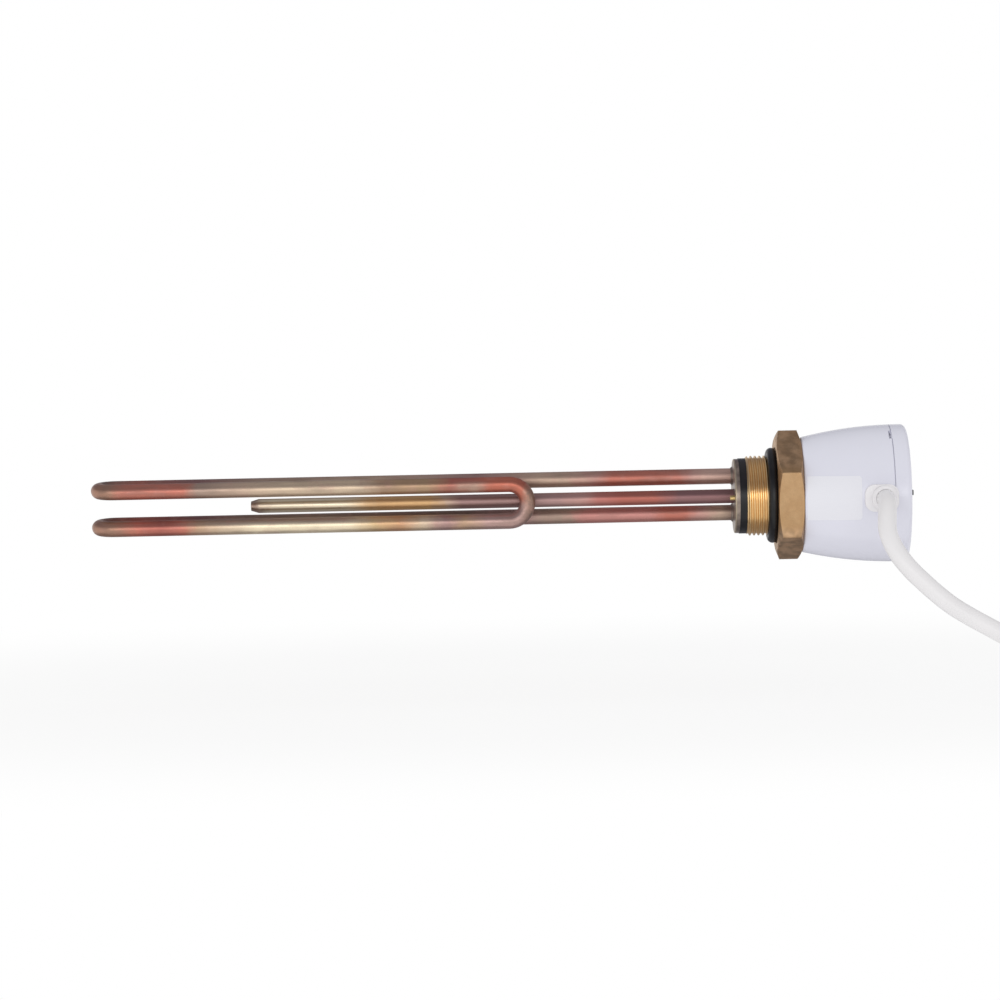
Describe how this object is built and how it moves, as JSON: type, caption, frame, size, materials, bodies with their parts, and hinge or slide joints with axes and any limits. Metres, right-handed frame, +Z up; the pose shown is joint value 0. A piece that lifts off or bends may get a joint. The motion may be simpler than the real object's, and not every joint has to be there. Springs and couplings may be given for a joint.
{
  "type": "screw plug immersion heater",
  "caption": "Folded tubular element and thermowell on a hexagonal brass screw plug, with a bell-shaped thermostat head and a mains lead; screws into a tank to heat water.",
  "frame": {"origin": "on the heater's axis, at the end of the thread next to the O-ring", "axes": "+X along the heater from the element to the head, the cord leaves the head towards -Y, +Z up"},
  "size_m": [0.698, 0.1405, 0.1369],
  "materials": {
    "element_copper": "copper tube with heat colours from brazing, satin",
    "thermowell_brass": "drawn brass with heat colours, satin",
    "plate_brass": "turned brass, dulled by brazing",
    "plug_brass": "machined brass, faintly brushed",
    "small_brass": "turned brass",
    "black_rubber": "smooth black rubber",
    "insulating_board": "pressed insulating board",
    "steel": "zinc-plated steel",
    "ceramic_beads": "plain ceramic",
    "head_plastic": "glossy moulded plastic, cool white",
    "thermostat_plastic": "moulded phenolic",
    "spindle_plastic": "moulded black plastic",
    "button_plastic": "moulded red plastic",
    "cord_plastic": "smooth white cord sheath and grommet",
    "lead_brown": "core insulation",
    "lead_blue": "core insulation",
    "lead_green": "core insulation, green and yellow",
    "tie_plastic": "plain strap"
  },
  "bodies": {
    "heater": {"heating_element": "element_copper", "thermowell": "thermowell_brass", "element_plate": "plate_brass", "screw_plug": "plug_brass", "clamp_nut": "small_brass", "earth_stud": "small_brass", "earth_nuts": "small_brass", "link_straps": "small_brass", "terminal_screws": "small_brass", "mains_earth_clips": "small_brass", "seal_ring": "black_rubber", "plug_o_ring": "black_rubber", "clamp_disc": "insulating_board", "clamp_washer": "steel", "earth_lug": "steel", "terminal_pins": "steel", "housing_screws": "steel", "thermostat_rod": "steel", "thermostat_screws": "steel", "clamp_screws": "steel", "mains_pins": "steel", "end_seals": "ceramic_beads", "head_housing": "head_plastic", "end_cover": "head_plastic", "thermostat_body": "thermostat_plastic", "cord_gland": "cord_plastic", "cord_tube": "cord_plastic", "cord_coil": "cord_plastic", "cord_tail": "cord_plastic", "mains_plug": "cord_plastic", "cord_clamp": "cord_plastic", "lead_live": "lead_brown", "lead_neutral": "lead_blue", "lead_earth": "lead_green", "coil_tie": "tie_plastic"},
    "spindle": {"setting_spindle": "spindle_plastic"},
    "reset": {"reset_button": "button_plastic"}
  },
  "joints": [
    {"name": "spindle_turn", "type": "hinge", "parent": "heater", "child": "spindle", "pos_m": [0.07, 0, 0], "axis": [1, 0, 0], "range_deg": [-135, 135]},
    {"name": "reset_press", "type": "slide", "parent": "heater", "child": "reset", "axis": [-1, 0, 0], "range_m": [0, 0.0025], "stiffness_N_per_m": 150, "springref_m": -0.004}
  ]
}
